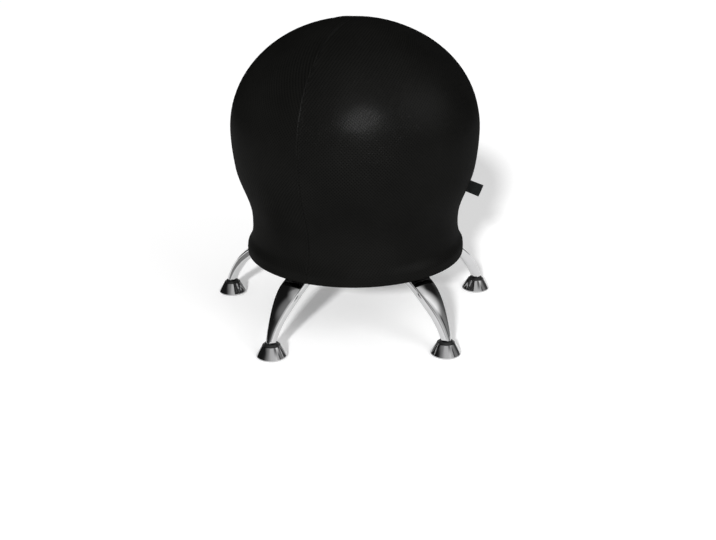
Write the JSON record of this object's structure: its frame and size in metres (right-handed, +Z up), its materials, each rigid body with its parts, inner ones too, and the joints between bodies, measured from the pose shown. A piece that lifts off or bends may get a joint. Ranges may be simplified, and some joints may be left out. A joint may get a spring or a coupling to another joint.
{
  "type": "balance ball chair",
  "caption": "Backless sitting ball in a black mesh cover on a round base, carried by arched chromed legs with tilting cone glides.",
  "frame": {"origin": "on the floor, on the chair's centre line, in the plane of the glides' soles", "axes": "+Z up along the centre line; legs 1 and 2 point to the front, -Y, and leg 4 to the back, +Y"},
  "size_m": [0.547, 0.5229, 0.5498],
  "materials": {
    "cover_mesh": "black knitted spacer mesh, matt with a faint sheen",
    "tag_fabric": "black woven tape, plain",
    "binding_tape": "black woven tape",
    "elastic_cord": "black elastic cord",
    "ball_vinyl": "grey vinyl, satin",
    "plug_plastic": "white plastic",
    "tray_plastic": "black moulded plastic, fine grain",
    "black_steel": "black powder coat",
    "brass_insert": "machined",
    "screw_steel": "zinc plated",
    "leg_chrome": "polished chrome plate",
    "glide_chrome": "polished chrome plate",
    "black_plastic": "black moulded nylon",
    "sole_nylon": "grey nylon sole"
  },
  "bodies": {
    "frame": {"base_tray": "tray_plastic", "hub_plate": "black_steel", "tray_inserts": "brass_insert", "leg_bolts": "screw_steel", "leg_washers": "screw_steel", "hem_binding": "binding_tape", "hem_elastic": "elastic_cord", "air_plug": "plug_plastic", "leg_1": "leg_chrome", "leg_cap_1": "black_plastic", "foot_insert_1": "black_plastic", "ball_stud_1": "screw_steel", "leg_2": "leg_chrome", "leg_cap_2": "black_plastic", "foot_insert_2": "black_plastic", "ball_stud_2": "screw_steel", "leg_3": "leg_chrome", "leg_cap_3": "black_plastic", "foot_insert_3": "black_plastic", "ball_stud_3": "screw_steel", "leg_4": "leg_chrome", "leg_cap_4": "black_plastic", "foot_insert_4": "black_plastic", "ball_stud_4": "screw_steel", "leg_5": "leg_chrome", "leg_cap_5": "black_plastic", "foot_insert_5": "black_plastic", "ball_stud_5": "screw_steel"},
    "seat": {"seat_cover": "cover_mesh", "ball": "ball_vinyl", "side_tag": "tag_fabric"},
    "glide_1": {"glide_cone_1": "glide_chrome", "glide_socket_1": "black_plastic", "glide_pad_1": "sole_nylon"},
    "glide_2": {"glide_cone_2": "glide_chrome", "glide_socket_2": "black_plastic", "glide_pad_2": "sole_nylon"},
    "glide_3": {"glide_cone_3": "glide_chrome", "glide_socket_3": "black_plastic", "glide_pad_3": "sole_nylon"},
    "glide_4": {"glide_cone_4": "glide_chrome", "glide_socket_4": "black_plastic", "glide_pad_4": "sole_nylon"},
    "glide_5": {"glide_cone_5": "glide_chrome", "glide_socket_5": "black_plastic", "glide_pad_5": "sole_nylon"}
  },
  "joints": [
    {"name": "seat_sink", "type": "slide", "parent": "frame", "child": "seat", "axis": [0, 0, 1], "range_m": [-0.05, 0], "stiffness_N_per_m": 12000, "springref_m": 0.003, "deforming": ["seat_cover", "ball", "side_tag"]},
    {"name": "glide_1_tilt", "type": "hinge", "parent": "frame", "child": "glide_1", "pos_m": [-0.15224, -0.20953, 0.0125], "axis": [0.809, -0.5878, 0], "range_deg": [-6, 6]},
    {"name": "glide_2_tilt", "type": "hinge", "parent": "frame", "child": "glide_2", "pos_m": [0.15224, -0.20953, 0.0125], "axis": [0.809, 0.5878, 0], "range_deg": [-6, 6]},
    {"name": "glide_3_tilt", "type": "hinge", "parent": "frame", "child": "glide_3", "pos_m": [0.24632, 0.08003, 0.0125], "axis": [-0.309, 0.9511, 0], "range_deg": [-6, 6]},
    {"name": "glide_4_tilt", "type": "hinge", "parent": "frame", "child": "glide_4", "pos_m": [0, 0.259, 0.0125], "axis": [-1, 0, 0], "range_deg": [-6, 6]},
    {"name": "glide_5_tilt", "type": "hinge", "parent": "frame", "child": "glide_5", "pos_m": [-0.24632, 0.08003, 0.0125], "axis": [-0.309, -0.9511, 0], "range_deg": [-6, 6]}
  ]
}
